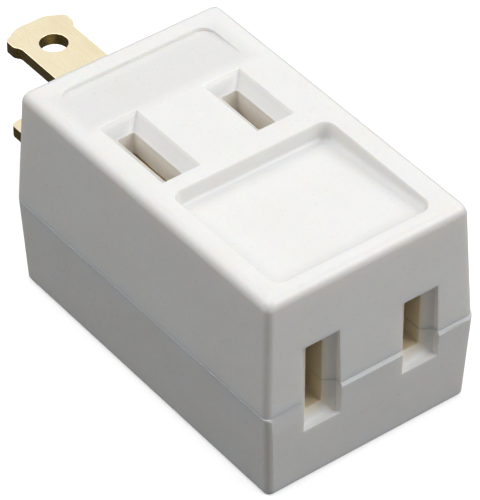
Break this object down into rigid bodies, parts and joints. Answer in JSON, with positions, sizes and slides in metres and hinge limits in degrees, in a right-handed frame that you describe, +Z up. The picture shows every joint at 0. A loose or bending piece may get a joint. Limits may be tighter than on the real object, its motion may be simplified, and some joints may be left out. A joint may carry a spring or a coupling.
{
  "type": "cube tap plug adapter",
  "caption": "Block-shaped white plug adapter with two-slot outlets on top, end and underside, and flat parallel plug blades at the other end.",
  "frame": {"origin": "middle of the underside of the overall box, blades included, on the plane that the tap rests on", "axes": "+Y along the plug blades, out of the plug face; +Z up through the top outlet; the neutral side, with the longer slots and the upper blade, is at -X"},
  "size_m": [0.027, 0.0604, 0.0258],
  "materials": {
    "cover_plastic": "white moulded plastic, satin gloss",
    "base_plastic": "white moulded plastic, satin gloss",
    "blade_brass": "pale blanked brass strip, lightly brushed",
    "contact_brass": "plain rolled brass strip",
    "rivet_brass": "plain brass, headed cold"
  },
  "bodies": {
    "root": {"upper_shell": "cover_plastic", "lower_shell": "base_plastic", "neutral_blade": "blade_brass", "neutral_bus": "contact_brass", "neutral_top_leaf": "contact_brass", "neutral_base_leaf": "contact_brass", "neutral_end_leaf": "contact_brass", "neutral_blade_rivet": "rivet_brass", "neutral_top_rivet": "rivet_brass", "neutral_base_rivet": "rivet_brass", "neutral_end_rivet": "rivet_brass", "hot_blade": "blade_brass", "hot_bus": "contact_brass", "hot_top_leaf": "contact_brass", "hot_base_leaf": "contact_brass", "hot_end_leaf": "contact_brass", "hot_blade_rivet": "rivet_brass", "hot_top_rivet": "rivet_brass", "hot_base_rivet": "rivet_brass", "hot_end_rivet": "rivet_brass"}
  },
  "joints": []
}
